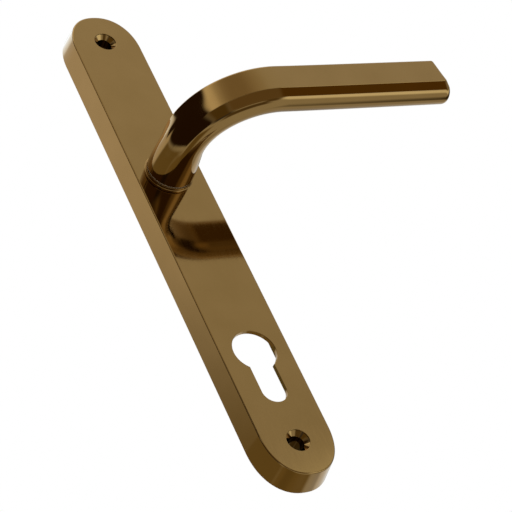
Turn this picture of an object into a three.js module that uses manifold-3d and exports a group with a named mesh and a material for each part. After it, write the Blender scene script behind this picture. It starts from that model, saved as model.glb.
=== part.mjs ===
// A sprung lever door handle on a long backplate, pierced for a euro profile cylinder.
// Millimetres. +Z runs up the door, +X is the way the lever points, +Y goes into the door.
// The origin is where the spindle axis meets the door face, so the plate fills y = -11 to 0.
import * as THREE from 'three';
import { mergeVertices } from 'three/addons/utils/BufferGeometryUtils.js';
import Module from 'manifold-3d';

const wasm = await Module();
wasm.setup();

// ---- Driving dimensions ----
const SCREW_CENTRES = 211; // between the two fixing screws
const SPINDLE_TO_CYLINDER = 92; // down from the spindle axis to the cylinder's round part
const UPPER_SCREW_Z = 76.5;
const LOWER_SCREW_Z = UPPER_SCREW_Z - SCREW_CENTRES;

const PLATE = {
  frontHalf: 14.83, // half width of the flat front face
  edge: 0.55, // radius of the front edge
  backHalf: 16.53, // half width at the door face, so the sides have draft
  depth: 11,
  endMargin: 16.2, // from a fixing screw to the end of the plate
  endBulge: 4.42, // how much longer than wide each rounded end is
  endPower: 0.9, // squareness of the rounded ends, 1 is an ellipse
  sideWall: 1.45,
  frontWall: 1.8,
};
const CUTOUT = { radius: 9.19, slotHalf: 5.32, height: 33.84 };
const FIXING = { headRadius: 4.8, lip: 0.4, sinkDepth: 2.1, holeRadius: 3.1, pillarRadius: 5.7 };
const COLLAR = { radius: 10.1, height: 1.2, chamfer: 0.25, bore: 9.3, bossRadius: 11.4, bossBack: -8 };

const TRAY = { half: 12.9, end: 27, corner: 3, sheet: 0.8, front: -8, back: -1.75 };
const COVER = { front: -1.7, thick: 1, hole: 9.5 };
const CASSETTE_SCREW = { x: 8.6, z: 22.8, bossRadius: 2.6, pilot: 1.35, shank: 1.15, head: 2.4, length: 6 };
const SPRING = { coilRadius: 10.6, wireRadius: 0.75, frontY: -6.3, rise: 2.4, turns: 1.5, legEnd: 15.4 };
const STOP = { angle: 53.5, padAngle: 4.2, lugGap: 0.4, lugAngle: 6, inner: 11.75, outer: 14 };
const FORK = { half: 2.45, outer: 13.6, slotHalf: 0.85, clear: 11.6, ahead: 0.9 };
const HUB = { sleeve: 9.2, flange: 11.4, front: -6.6, flangeFront: -3, back: -2.2 };
const RIB = { z: -124.5, half: 0.7, height: 2.5 };
const TRAY_LUG = { thick: 1.4, inner: 12.6, outer: 15.6, past: 1 }; // past: how far behind the wire it ends
const SCREW_RECESS = { long: 1.4, narrow: 0.28, depth: 0.7 };
const BUSH = { front: -12.1, gap: 0.1, backGap: 0.05 };
const COLLAR_WASHER = { inner: 8.5, outer: 9.7, front: -12.55 };
const THRUST_WASHER = { outer: 9.8, front: -7.15, back: -6.75 };
const FLANGE_WASHER = { inner: 9.6, outer: 11.3, front: -2.15, back: -1.8 };
const WAVE_WASHER = { inner: 7.5, outer: 9, sheet: 0.2, wave: 0.07, waves: 3, middle: -1.65, steps: 48 };
const CIRCLIP = { inner: 6.55, outer: 7.9, front: -1.25, back: -0.6, open: 22 }; // open: degrees from the top
const CIRCLIP_EYE = { at: 7.75, turn: 24, radius: 1.15, hole: 0.5, clear: 6.45 };

const NECK_RADIUS = 9.9;
const NECK_BASE_Y = -12.7;
const JOURNAL = { radius: 8, back: -6.9 };
const SHANK = { radius: 7.2, flatHalf: 5.8, back: -0.35, grooveFront: -1.35, grooveBack: -0.5, groove: 6.4 };
const SPINDLE = { half: 4.1, depth: 22 };
const CLIP = { half: 2.4, sheet: 0.4, front: -16, back: -1.2, gap: 0.1, bow: 0.45 };
const CLIP_RECESS = { depth: 0.75, endGap: 0.4 };
const BEND = { startY: -27.9, acrossX: 33.6, gripY: -56.8 }; // an elliptical quarter turn
const GRIP = { half: 9.4, thick: 10.2, tipX: 113.4, topEdge: 0.8, rearRadius: 4.8, lowerRadius: 4.85 };
const GRIP_SLANT = { rise: 0.0163, ease: 20 }; // how the grip leans away from the door towards its tip
const GRIP_CREASE_Z = -3; // where the flat front face ends and the finger bevel starts
const GRIP_BEVEL_END = -30; // degrees round the lower edge where the bevel ends
const MORPH = { start: 1.5, end: 38 }; // distance along the lever where round becomes grip section
const TIP_CORNER = 3.2;
const TIP_EDGE = 0.9;
const TIP_SLANT = 0.13; // how far the end face leans out towards its lower edge
const FIT = 0.15; // clearance between neighbours that locate each other
const RUNNING = 0.08; // radial clearance between the turning journal and what carries it

const { degToRad: rad, lerp, smoothstep } = THREE.MathUtils;

// ---- Materials ----
const finish = (color, roughness, metalness) => new THREE.MeshStandardMaterial({ color, roughness, metalness });
const BRONZE = () => finish(0x7d6238, 0.12, 1);
const ZINC = () => finish(0x9a9a98, 0.5, 1);
const STEEL = () => finish(0xb9bbbd, 0.3, 1);
const SPRING_STEEL = () => finish(0x55565a, 0.35, 1);
const ACETAL = () => finish(0xe6e2d6, 0.45, 0);
const BROWN_ACETAL = () => finish(0x877358, 0.45, 0);
const PADDING = () => finish(0x1c1c1e, 0.85, 0);

// ---- Solids ----
// Closed geometry as a manifold solid, with the shared vertices merged and empty triangles dropped.
function solid(geometry) {
  const bare = geometry.clone();
  bare.deleteAttribute('normal');
  bare.deleteAttribute('uv');
  const merged = mergeVertices(bare, 1e-5);
  const index = merged.index.array;
  const kept = [];
  for (let i = 0; i < index.length; i += 3) {
    const [a, b, c] = [index[i], index[i + 1], index[i + 2]];
    if (a !== b && b !== c && c !== a) kept.push(a, b, c);
  }
  const vertProperties = new Float32Array(merged.attributes.position.array);
  return new wasm.Manifold(new wasm.Mesh({ numProp: 3, vertProperties, triVerts: new Uint32Array(kept) }));
}

function geometryOf(manifold) {
  const mesh = manifold.getMesh();
  const geometry = new THREE.BufferGeometry();
  geometry.setAttribute('position', new THREE.BufferAttribute(new Float32Array(mesh.vertProperties), 3));
  geometry.setIndex(new THREE.BufferAttribute(new Uint32Array(mesh.triVerts), 1));
  return geometry;
}

// A turned piece about the Y axis. The profile is [radius, y] pairs, counter-clockwise in that plane.
function turned(profile, segments = 48) {
  const points = profile.map(([r, y]) => new THREE.Vector2(r, y));
  if (profile[0][0] > 0) points.push(points[0].clone());
  return new THREE.LatheGeometry(points, segments);
}

const ring = (inner, outer, front, back, segments) =>
  turned([[inner, front], [outer, front], [outer, back], [inner, back]], segments);

const rod = (radius, front, back, segments) =>
  turned([[0, front], [radius, front], [radius, back], [0, back]], segments);

// A flat shape drawn in x and z, given thickness from y = front to y = back.
function slab(shape, front, back, curveSegments = 10) {
  const geometry = new THREE.ExtrudeGeometry(shape, { depth: back - front, bevelEnabled: false, curveSegments });
  return geometry.rotateX(Math.PI / 2).translate(0, back, 0);
}

const block = (x0, x1, y0, y1, z0, z1) =>
  new THREE.BoxGeometry(x1 - x0, y1 - y0, z1 - z0).translate((x0 + x1) / 2, (y0 + y1) / 2, (z0 + z1) / 2);

// A sector of a ring in x and z, between two angles in degrees from straight down towards +X.
function sector(inner, outer, from, to, front, back) {
  const shape = new THREE.Shape();
  shape.absarc(0, 0, outer, rad(from - 90), rad(to - 90), false);
  shape.absarc(0, 0, inner, rad(to - 90), rad(from - 90), true);
  return slab(shape, front, back, 4);
}

function roundedRectangle(half, end, corner) {
  const shape = new THREE.Shape();
  const corners = [[1, 1, 0], [-1, 1, 90], [-1, -1, 180], [1, -1, 270]];
  for (const [sx, sz, start] of corners) {
    shape.absarc(sx * (half - corner), sz * (end - corner), corner, rad(start), rad(start + 90), false);
  }
  return shape;
}

function hole(x, z, radius) {
  const path = new THREE.Path();
  path.absarc(x, z, radius, 0, 2 * Math.PI, true);
  return path;
}

// A closed skin through rings of points that all have the same count, capped flat at both ends.
function skin(rings) {
  const count = rings[0].length;
  const positions = rings.flat().flatMap((p) => [p.x, p.y, p.z]);
  const index = [];
  for (let j = 0; j + 1 < rings.length; j += 1) {
    for (let i = 0; i < count; i += 1) {
      const a = j * count + i;
      const b = j * count + ((i + 1) % count);
      index.push(a, b, b + count, a, b + count, a + count);
    }
  }
  for (const [ringIndex, flip] of [[0, true], [rings.length - 1, false]]) {
    const centre = positions.length / 3;
    const middle = rings[ringIndex].reduce((sum, p) => sum.add(p), new THREE.Vector3()).divideScalar(count);
    positions.push(middle.x, middle.y, middle.z);
    for (let i = 0; i < count; i += 1) {
      const a = ringIndex * count + i;
      const b = ringIndex * count + ((i + 1) % count);
      index.push(...(flip ? [b, a, centre] : [a, b, centre]));
    }
  }
  const geometry = new THREE.BufferGeometry();
  geometry.setAttribute('position', new THREE.BufferAttribute(new Float32Array(positions), 3));
  geometry.setIndex(index);
  return geometry;
}

// ---- Backplate ----
// One outline of the plate: straight sides with rounded ends a little longer than wide.
function plateOutline(half, y) {
  const points = [];
  const steps = 14;
  const endHalf = half + PLATE.endBulge;
  const centreOffset = PLATE.endMargin - PLATE.backHalf - PLATE.endBulge;
  const ends = [[1, UPPER_SCREW_Z + centreOffset], [-1, LOWER_SCREW_Z - centreOffset]];
  for (const [sign, centreZ] of ends) {
    for (let i = 0; i <= steps; i += 1) {
      const angle = (Math.PI * i) / steps;
      const across = Math.sign(Math.cos(angle)) * Math.abs(Math.cos(angle)) ** PLATE.endPower;
      const along = Math.abs(Math.sin(angle)) ** PLATE.endPower;
      points.push(new THREE.Vector3(sign * half * across, y, centreZ + sign * endHalf * along));
    }
  }
  return points;
}

function sideHalf(y) {
  const topHalf = PLATE.frontHalf + PLATE.edge;
  return topHalf + ((PLATE.backHalf - topHalf) * (y + PLATE.depth - PLATE.edge)) / (PLATE.depth - PLATE.edge);
}

function plateShell() {
  const levels = [[PLATE.backHalf, 0]];
  for (const angle of [0, 30, 60, 90]) {
    const inset = PLATE.edge * Math.cos(rad(angle));
    levels.push([PLATE.frontHalf + inset, -PLATE.depth + PLATE.edge * (1 - Math.sin(rad(angle)))]);
  }
  const outside = solid(skin(levels.map(([half, y]) => plateOutline(half, y))));
  const floorY = -PLATE.depth + PLATE.frontWall;
  const hollow = [1, floorY].map((y) => plateOutline(sideHalf(y) - PLATE.sideWall, y));
  return outside.subtract(solid(skin(hollow)));
}

function cutoutShape() {
  const { radius, slotHalf, height } = CUTOUT;
  const shape = new THREE.Shape();
  const meet = Math.asin(slotHalf / radius);
  const slotZ = -SPINDLE_TO_CYLINDER + radius - height + slotHalf;
  shape.absarc(0, -SPINDLE_TO_CYLINDER, radius, -Math.PI / 2 + meet, 1.5 * Math.PI - meet, false);
  shape.absarc(0, slotZ, slotHalf, Math.PI, 2 * Math.PI, false);
  return shape;
}

function fixingHole(z) {
  const { headRadius, lip, sinkDepth, holeRadius } = FIXING;
  const front = -PLATE.depth;
  const profile = [
    [0, front - 1], [headRadius, front - 1], [headRadius, front + lip], [holeRadius, front + sinkDepth],
    [holeRadius, 1], [0, 1],
  ];
  return solid(turned(profile, 36).translate(0, 0, z));
}

function backplate() {
  const floorY = -PLATE.depth + PLATE.frontWall;
  const sunk = floorY - 0.5; // added features start inside the front wall, so they join it
  let plate = plateShell();
  const { radius, height, chamfer, bossRadius, bossBack, bore } = COLLAR;
  const top = -PLATE.depth - height;
  const collar = [[0, top], [radius - chamfer, top], [radius, top + chamfer], [radius, sunk], [0, sunk]];
  plate = plate.add(solid(turned(collar, 64)));
  plate = plate.add(solid(rod(bossRadius, sunk, bossBack, 48)));
  for (const z of [UPPER_SCREW_Z, LOWER_SCREW_Z]) {
    plate = plate.add(solid(rod(FIXING.pillarRadius, sunk, 0, 36).translate(0, 0, z)));
  }
  for (const [x, z] of cassetteScrewPlaces()) {
    plate = plate.add(solid(rod(CASSETTE_SCREW.bossRadius, sunk, TRAY.back, 24).translate(x, 0, z)));
    plate = plate.subtract(solid(rod(CASSETTE_SCREW.pilot, sunk + 0.6, 1, 16).translate(x, 0, z)));
  }
  const reach = sideHalf(floorY) - PLATE.sideWall + 0.3;
  const rib = block(-reach, reach, sunk, floorY + RIB.height, RIB.z - RIB.half, RIB.z + RIB.half);
  plate = plate.add(solid(rib));
  plate = plate.subtract(solid(rod(bore, top - 1, 1, 64)));
  for (const z of [UPPER_SCREW_Z, LOWER_SCREW_Z]) plate = plate.subtract(fixingHole(z));
  plate = plate.subtract(solid(slab(cutoutShape(), -PLATE.depth - 1, 1, 16)));
  return geometryOf(plate);
}

// ---- Spring cassette ----
const cassetteScrewPlaces = () =>
  [[1, 1], [-1, 1], [-1, -1], [1, -1]].map(([sx, sz]) => [sx * CASSETTE_SCREW.x, sz * CASSETTE_SCREW.z]);

// A pressed tray: a floor with a rim, lugs that hold the spring's fixed leg, and two stop lugs.
function cassetteTray() {
  const { half, end, corner, sheet, front, back } = TRAY;
  const floor = roundedRectangle(half, end, corner);
  floor.holes.push(hole(0, 0, JOURNAL.radius + 4 * FIT));
  const bossHole = CASSETTE_SCREW.bossRadius + 2 * FIT;
  for (const [x, z] of cassetteScrewPlaces()) floor.holes.push(hole(x, z, bossHole));
  const rim = roundedRectangle(half, end, corner);
  rim.holes.push(roundedRectangle(half - sheet, end - sheet, corner - sheet));
  let tray = solid(slab(floor, front, front + sheet, 6)).add(solid(slab(rim, front + sheet / 2, back, 6)));
  const grip = SPRING.wireRadius + FIT;
  for (const side of [-1, 1]) {
    const [x0, x1] = [side * grip, side * (grip + TRAY_LUG.thick)].sort((a, b) => a - b);
    const lugBack = SPRING.frontY + TRAY_LUG.past;
    tray = tray.add(solid(block(x0, x1, front + sheet / 2, lugBack, TRAY_LUG.inner, TRAY_LUG.outer)));
    const lugStart = STOP.angle + STOP.padAngle + STOP.lugGap;
    tray = tray.add(solid(stopBlock(side, lugStart, lugStart + STOP.lugAngle, front + sheet / 2)));
  }
  return geometryOf(tray);
}

// A block beside the hub's fork, on the +X or the -X side, between two angles from straight down.
function stopBlock(side, from, to, front) {
  const angles = side > 0 ? [from, to] : [-to, -from];
  return sector(STOP.inner, STOP.outer, ...angles, front, TRAY.back - 0.4);
}

const stopPad = (side) => stopBlock(side, STOP.angle, STOP.angle + STOP.padAngle, TRAY.front + TRAY.sheet);

function cassetteCover() {
  const { front, thick } = COVER;
  const plate = roundedRectangle(TRAY.half + 0.4, TRAY.end + 0.4, TRAY.corner + 0.4);
  plate.holes.push(hole(0, 0, COVER.hole));
  let cover = solid(slab(plate, front, front + thick, 16));
  for (const [x, z] of cassetteScrewPlaces()) {
    const sink = CASSETTE_SCREW.head + 2 * FIT;
    const profile = [
      [0, front - 1], [CASSETTE_SCREW.shank + 2 * FIT, front - 1], [CASSETTE_SCREW.shank + 2 * FIT, front],
      [sink, front + thick - 0.1], [sink, front + thick + 1], [0, front + thick + 1],
    ];
    cover = cover.subtract(solid(turned(profile, 20).translate(x, 0, z)));
  }
  return geometryOf(cover);
}

// A countersunk screw with a cross recess, its head flush with the back of the cover.
function cassetteScrew(x, z) {
  const { head, shank, length } = CASSETTE_SCREW;
  const top = COVER.front + COVER.thick - 0.1;
  const profile = [
    [0, top - length], [shank * 0.5, top - length], [shank, top - length + 1], [shank, top - 1.1],
    [head, top - 0.15], [head, top], [0, top],
  ];
  let screw = solid(turned(profile, 20));
  const { long, narrow, depth } = SCREW_RECESS;
  for (const [dx, dz] of [[long, narrow], [narrow, long]]) {
    screw = screw.subtract(solid(block(-dx, dx, top - depth, top + 1, -dz, dz)));
  }
  return geometryOf(screw).translate(x, 0, z);
}

// A helix with a straight leg outwards at each end, the front one up and the rear one down.
class SpringPath extends THREE.Curve {
  getPoint(t, target = new THREE.Vector3()) {
    const { coilRadius, frontY, rise, turns, legEnd } = SPRING;
    const legs = 0.1; // share of the path that each leg takes
    const along = THREE.MathUtils.clamp((t - legs) / (1 - 2 * legs), 0, 1);
    const angle = Math.PI / 2 + 2 * Math.PI * turns * along;
    let radius = coilRadius;
    if (t < legs) radius = lerp(legEnd, coilRadius, t / legs);
    if (t > 1 - legs) radius = lerp(coilRadius, FORK.outer - 0.4, (t - 1 + legs) / legs);
    return target.set(radius * Math.cos(angle), frontY + rise * along, radius * Math.sin(angle));
  }
}

function returnSpring() {
  const section = new THREE.Shape();
  section.absarc(0, 0, SPRING.wireRadius, 0, 2 * Math.PI, false);
  return new THREE.ExtrudeGeometry(section, { steps: 80, curveSegments: 4, extrudePath: new SpringPath() });
}

// ---- Lever and what turns with it ----
// The grip's section as [forward, up] pairs about its own centre, counter-clockwise.
function gripSection() {
  const { half, thick, topEdge, rearRadius, lowerRadius } = GRIP;
  const front = thick / 2;
  const points = [];
  const arc = (cu, cv, radius, from, to, steps) => {
    for (let i = 0; i <= steps; i += 1) {
      const angle = rad(from + ((to - from) * i) / steps);
      points.push([cu + radius * Math.cos(angle), cv + radius * Math.sin(angle)]);
    }
  };
  points.push([front, GRIP_CREASE_Z], [front, 1], [front, 4.5]);
  arc(front - topEdge, half - topEdge, topEdge, 0, 90, 2);
  arc(-front + rearRadius, half - rearRadius, rearRadius, 90, 180, 5);
  points.push([-front, 0]);
  arc(-front + rearRadius, -half + rearRadius, rearRadius, 180, 270, 5);
  arc(-front + lowerRadius, -half + lowerRadius, lowerRadius, 280, 360 + GRIP_BEVEL_END, 4);
  return points;
}

// The centre line from the neck round the bend, with its outward direction and its length so far.
function leverLine() {
  const { startY, acrossX, gripY } = BEND;
  const drop = startY - gripY;
  const stations = [];
  const necks = 3;
  for (let i = 0; i < necks; i += 1) stations.push([0, lerp(NECK_BASE_Y, startY, i / necks), -1, 0]);
  const steps = 16;
  for (let i = 0; i <= steps; i += 1) {
    const angle = (Math.PI / 2) * (i / steps);
    const x = acrossX * (1 - Math.cos(angle));
    const y = startY - drop * Math.sin(angle);
    const outward = new THREE.Vector2(-Math.cos(angle) / acrossX, -Math.sin(angle) / drop).normalize();
    stations.push([x, y, outward.x, outward.y]);
  }
  stations.push([70, gripY, 0, -1]);
  stations.push([GRIP.tipX - TIP_CORNER - 2 * TIP_SLANT * GRIP.half, gripY, 0, -1]);
  return stations;
}

function leaned(point) {
  const past = Math.max(point.x - BEND.acrossX, 0);
  const away = (GRIP_SLANT.rise * past ** 2) / (past + GRIP_SLANT.ease);
  return point.clone().setY(point.y - away);
}

function leverBody() {
  const section = gripSection();
  const turn = section.map(([u, v]) => Math.atan2(v, u));
  const rings = [];
  let length = 0;
  let last = null;
  for (const [x, y, outX, outY] of leverLine()) {
    if (last) length += Math.hypot(x - last[0], y - last[1]);
    last = [x, y];
    const grip = smoothstep(length, MORPH.start, MORPH.end);
    rings.push(section.map(([u, v], i) => {
      const forward = lerp(NECK_RADIUS * Math.cos(turn[i]), u, grip);
      const up = lerp(NECK_RADIUS * Math.sin(turn[i]), v, grip);
      return new THREE.Vector3(x + outX * forward, y + outY * forward, up);
    }));
  }
  // The tip: a flat end that leans out towards its rounded lower corner, with a small radius on every edge.
  const full = rings.pop();
  for (const angle of [0, 25, 45, 60, 75, 90]) {
    const x = GRIP.tipX - TIP_CORNER * (1 - Math.sin(rad(angle)));
    const lift = 1 - (TIP_CORNER * (1 - Math.cos(rad(angle)))) / GRIP.half;
    const past = Math.max(x - GRIP.tipX + TIP_EDGE, 0);
    const inset = TIP_EDGE - Math.sqrt(TIP_EDGE ** 2 - past ** 2);
    rings.push(full.map((p) => {
      const scale = 1 - inset / Math.hypot(p.y - BEND.gripY, p.z);
      const up = (p.z < 0 ? p.z * lift : p.z) * scale;
      const out = x - TIP_SLANT * (GRIP.half + up);
      return new THREE.Vector3(out, BEND.gripY + (p.y - BEND.gripY) * scale, up);
    }));
  }
  return rings.map((points) => points.map(leaned));
}

// A round bar with two flats, as the end of the shank has and the hub's bore fits.
function flattedRound(radius, flatHalf, front, back) {
  const round = solid(rod(radius, front, back, 40));
  return round.intersect(solid(block(-radius - 1, radius + 1, front - 1, back + 1, -flatHalf, flatHalf)));
}

function lever() {
  let body = solid(skin(leverBody().reverse()));
  body = body.add(solid(rod(JOURNAL.radius, NECK_BASE_Y - 1, JOURNAL.back, 48)));
  body = body.add(flattedRound(SHANK.radius, SHANK.flatHalf, JOURNAL.back - 1, SHANK.back));
  body = body.subtract(solid(ring(SHANK.groove, SHANK.radius + 1, SHANK.grooveFront, SHANK.grooveBack, 40)));
  const bore = SPINDLE.half;
  body = body.subtract(solid(block(-bore, bore, -SPINDLE.depth, 1, -bore, bore)));
  const across = CLIP.half + FIT;
  const recess = block(-across, across, CLIP.front - CLIP_RECESS.endGap, 1, bore - 0.5, bore + CLIP_RECESS.depth);
  return geometryOf(body.subtract(solid(recess)));
}

// A leaf spring in the top of the spindle bore, bowed so that it presses on the spindle.
function spindleClip() {
  const { half, sheet, front, back, gap, bow } = CLIP;
  const top = SPINDLE.half + CLIP_RECESS.depth - gap;
  const shape = new THREE.Shape();
  shape.moveTo(front, top);
  shape.quadraticCurveTo((front + back) / 2, top - 2 * bow, back, top);
  shape.lineTo(back, top - sheet);
  shape.quadraticCurveTo((front + back) / 2, top - sheet - 2 * bow, front, top - sheet);
  const geometry = new THREE.ExtrudeGeometry(shape, { depth: 2 * half, bevelEnabled: false, curveSegments: 8 });
  const standing = new THREE.Matrix4().makeBasis(
    new THREE.Vector3(0, 1, 0), new THREE.Vector3(0, 0, 1), new THREE.Vector3(1, 0, 0),
  );
  return geometry.applyMatrix4(standing).translate(-half, 0, 0);
}

// A sleeve on the flatted shank, a flange behind the spring, and a fork over the spring's rear leg.
function driveHub() {
  const { sleeve, flange, front, flangeFront, back } = HUB;
  let hub = solid(rod(sleeve, front, back, 48));
  hub = hub.add(solid(rod(flange, flangeFront, back, 48)));
  const forkFront = SPRING.frontY + SPRING.rise - FORK.ahead;
  hub = hub.add(solid(block(-FORK.half, FORK.half, forkFront, back, -FORK.outer, -sleeve)));
  const slotBack = flangeFront + 0.05;
  const slot = block(-FORK.slotHalf, FORK.slotHalf, forkFront - 1, slotBack, -FORK.outer - 1, -sleeve);
  hub = hub.subtract(solid(slot));
  hub = hub.subtract(solid(ring(sleeve, FORK.clear, forkFront - 1, flangeFront, 48)));
  return geometryOf(hub.subtract(flattedRound(SHANK.radius + FIT, SHANK.flatHalf + FIT, front - 1, 1)));
}

// A thin ring with three waves, which takes up the end play behind the hub.
function waveWasher() {
  const { inner, outer, sheet, wave, waves, middle, steps } = WAVE_WASHER;
  const rings = [];
  for (let i = 0; i < steps; i += 1) {
    const angle = (2 * Math.PI * i) / steps;
    const y = middle + wave * Math.cos(waves * angle);
    const corners = [[inner, -sheet / 2], [inner, sheet / 2], [outer, sheet / 2], [outer, -sheet / 2]];
    rings.push(corners.map(([r, dy]) => new THREE.Vector3(r * Math.cos(angle), y + dy, r * Math.sin(angle))));
  }
  const positions = rings.flat().flatMap((p) => [p.x, p.y, p.z]);
  const index = [];
  for (let j = 0; j < steps; j += 1) {
    for (let i = 0; i < 4; i += 1) {
      const [a, b] = [j * 4 + i, j * 4 + ((i + 1) % 4)];
      const [c, d] = [((j + 1) % steps) * 4 + ((i + 1) % 4), ((j + 1) % steps) * 4 + i];
      index.push(a, c, b, a, d, c);
    }
  }
  const geometry = new THREE.BufferGeometry();
  geometry.setAttribute('position', new THREE.BufferAttribute(new Float32Array(positions), 3));
  geometry.setIndex(index);
  return geometry;
}

// An external retaining ring, open at the top, with an eye at each end.
function circlip() {
  const { inner, outer, front, back, open } = CIRCLIP;
  const shape = new THREE.Shape();
  shape.absarc(0, 0, outer, rad(90 + open), rad(450 - open), false);
  shape.absarc(0, 0, inner, rad(450 - open), rad(90 + open), true);
  let clip = solid(slab(shape, front, back, 16));
  for (const side of [-1, 1]) {
    const angle = rad(90 + side * CIRCLIP_EYE.turn);
    const [x, z] = [CIRCLIP_EYE.at * Math.cos(angle), CIRCLIP_EYE.at * Math.sin(angle)];
    clip = clip.add(solid(rod(CIRCLIP_EYE.radius, front, back, 16).translate(x, 0, z)));
    clip = clip.subtract(solid(rod(CIRCLIP_EYE.hole, front - 1, back + 1, 10).translate(x, 0, z)));
  }
  return geometryOf(clip.subtract(solid(rod(CIRCLIP_EYE.clear, front - 1, back + 1, 40))));
}

// ---- Assembly ----
const handle = new THREE.Group();
const piece = (name, geometry, material) => {
  const mesh = new THREE.Mesh(geometry, material);
  mesh.name = name;
  handle.add(mesh);
};

piece('backplate', backplate(), BRONZE());
const runningFit = JOURNAL.radius + RUNNING;
const bush = ring(runningFit, COLLAR.bore - BUSH.gap, BUSH.front, COLLAR.bossBack - BUSH.backGap, 64);
piece('neck_bush', bush, ACETAL());
const collarTop = -PLATE.depth - COLLAR.height;
const collarWasher = ring(COLLAR_WASHER.inner, COLLAR_WASHER.outer, COLLAR_WASHER.front, collarTop, 64);
piece('collar_washer', collarWasher, BROWN_ACETAL());
piece('cassette_tray', cassetteTray(), ZINC());
piece('cassette_cover', cassetteCover(), STEEL());
cassetteScrewPlaces().forEach(([x, z], i) => piece(`cassette_screw_${i + 1}`, cassetteScrew(x, z), STEEL()));
piece('stop_pad_right', stopPad(1), PADDING());
piece('stop_pad_left', stopPad(-1), PADDING());
piece('return_spring', returnSpring(), SPRING_STEEL());
piece('lever', lever(), BRONZE());
const thrustWasher = ring(runningFit, THRUST_WASHER.outer, THRUST_WASHER.front, THRUST_WASHER.back, 48);
piece('thrust_washer', thrustWasher, STEEL());
piece('drive_hub', driveHub(), ZINC());
const { inner, outer, front, back } = FLANGE_WASHER;
piece('flange_washer', ring(inner, outer, front, back, 48), ACETAL());
piece('wave_washer', waveWasher(), SPRING_STEEL());
piece('circlip', circlip(), SPRING_STEEL());
piece('spindle_clip', spindleClip(), SPRING_STEEL());

export default handle;
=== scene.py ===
import math

import bmesh
import bpy
from mathutils import Matrix, Vector
from mathutils.geometry import tessellate_polygon


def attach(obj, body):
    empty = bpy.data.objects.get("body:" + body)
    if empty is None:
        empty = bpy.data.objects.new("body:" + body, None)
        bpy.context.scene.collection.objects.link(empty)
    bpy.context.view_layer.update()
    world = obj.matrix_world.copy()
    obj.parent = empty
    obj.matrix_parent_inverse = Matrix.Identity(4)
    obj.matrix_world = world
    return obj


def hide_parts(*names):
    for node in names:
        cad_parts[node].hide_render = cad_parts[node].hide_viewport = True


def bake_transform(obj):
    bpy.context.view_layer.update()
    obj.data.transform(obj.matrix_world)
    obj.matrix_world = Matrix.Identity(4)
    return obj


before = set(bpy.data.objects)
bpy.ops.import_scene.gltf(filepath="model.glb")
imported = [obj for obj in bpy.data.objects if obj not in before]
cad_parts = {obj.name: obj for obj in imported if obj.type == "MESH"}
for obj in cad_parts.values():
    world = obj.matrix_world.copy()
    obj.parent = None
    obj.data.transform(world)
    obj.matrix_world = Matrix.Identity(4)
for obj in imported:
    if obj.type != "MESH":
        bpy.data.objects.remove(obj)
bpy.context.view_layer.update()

MM = 0.001

# ---- The handle's driving dimensions, in millimetres, as the CAD part has them ----
PLATE_FRONT_HALF = 14.83   # half width of the flat front face
PLATE_EDGE = 0.55          # radius of the front edge
PLATE_BACK_HALF = 16.53    # half width at the door face
PLATE_DEPTH = 11.0
PLATE_END_BULGE = 4.42     # how much longer than wide each rounded end is
PLATE_END_POWER = 0.9      # squareness of the rounded ends
PLATE_SIDE_WALL = 1.45
PLATE_FRONT_WALL = 1.8
END_MARGIN = 16.2          # from a fixing screw to the end of the plate
UPPER_SCREW_Z, LOWER_SCREW_Z = 76.5, -134.5
CYLINDER_Z = -92.0
CUTOUT_RADIUS, CUTOUT_SLOT_HALF, CUTOUT_HEIGHT = 9.19, 5.32, 33.84
HOLE_HEAD, HOLE_LIP, HOLE_SINK, HOLE_RADIUS = 4.8, 0.4, 2.1, 3.1   # lip and countersink are depths
PILLAR_RADIUS, PILLAR_DRAFT = 5.7, 0.15
COLLAR_RADIUS, COLLAR_HEIGHT, COLLAR_BORE, COLLAR_EDGE = 10.1, 1.2, 9.3, 0.12
BOSS_RADIUS, BOSS_BACK = 11.4, -8.0
RIB_Z, RIB_HALF, RIB_HEIGHT, RIB_CORNER, RIB_EDGE, RIB_SUNK = -124.5, 0.7, 2.5, 0.3, 0.25, 0.5
FIT = 0.15                 # between pieces that are put together
RUNNING = 0.08             # round a piece that turns in another

TRAY_HALF, TRAY_END, TRAY_CORNER, TRAY_SHEET = 12.9, 27.0, 3.0, 0.8
TRAY_FRONT, TRAY_BACK, TRAY_HOLE = -8.0, -1.75, 8.6
TRAY_BEND = 0.9            # outside radius of the pressed corner
LUG_HALF, LUG_END, LUG_CORNER, LUG_Z = 0.7, 1.5, 0.25, 14.1   # two of them hold the spring's front leg
COVER_FRONT, COVER_THICK, COVER_HOLE, COVER_MARGIN = -1.7, 1.0, 9.5, 0.4
SCREW_X, SCREW_Z, SCREW_HEAD, SCREW_SHANK, SCREW_LENGTH = 8.6, 22.8, 2.4, 1.15, 6.0
SCREW_SUNK, SCREW_CONE, THREAD_PITCH, THREAD_DEPTH = 0.1, 1.1, 0.9, 0.2
RECESS_CORNER, RECESS_DEPTH = 0.18, 0.75
CASSETTE_PLACES = [(SCREW_X, SCREW_Z), (-SCREW_X, SCREW_Z), (-SCREW_X, -SCREW_Z), (SCREW_X, -SCREW_Z)]
CASSETTE_BOSS, CASSETTE_PILOT = 2.6, 1.35
SPRING_COIL, SPRING_WIRE, SPRING_FRONT, SPRING_RISE, SPRING_TURNS = 10.6, 0.75, -6.3, 2.4, 1.5
SPRING_FRONT_LEG, SPRING_REAR_LEG, SPRING_BEND = 15.4, 13.2, 1.6
STOP_ANGLE, STOP_PAD_ANGLE, STOP_LUG_GAP, STOP_LUG_ANGLE = 53.5, 4.2, 0.4, 6.0
STOP_INNER, STOP_OUTER, STOP_EDGE, STOP_BACK = 11.75, 14.0, 0.25, TRAY_BACK - 0.4
FORK_HALF, FORK_SLOT_HALF, FORK_INNER, FORK_OUTER = 2.45, 0.85, 11.6, 13.6
FORK_FRONT, FORK_CORNER, FORK_EDGE = SPRING_FRONT + SPRING_RISE - 0.9, 0.35, 0.25
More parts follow.
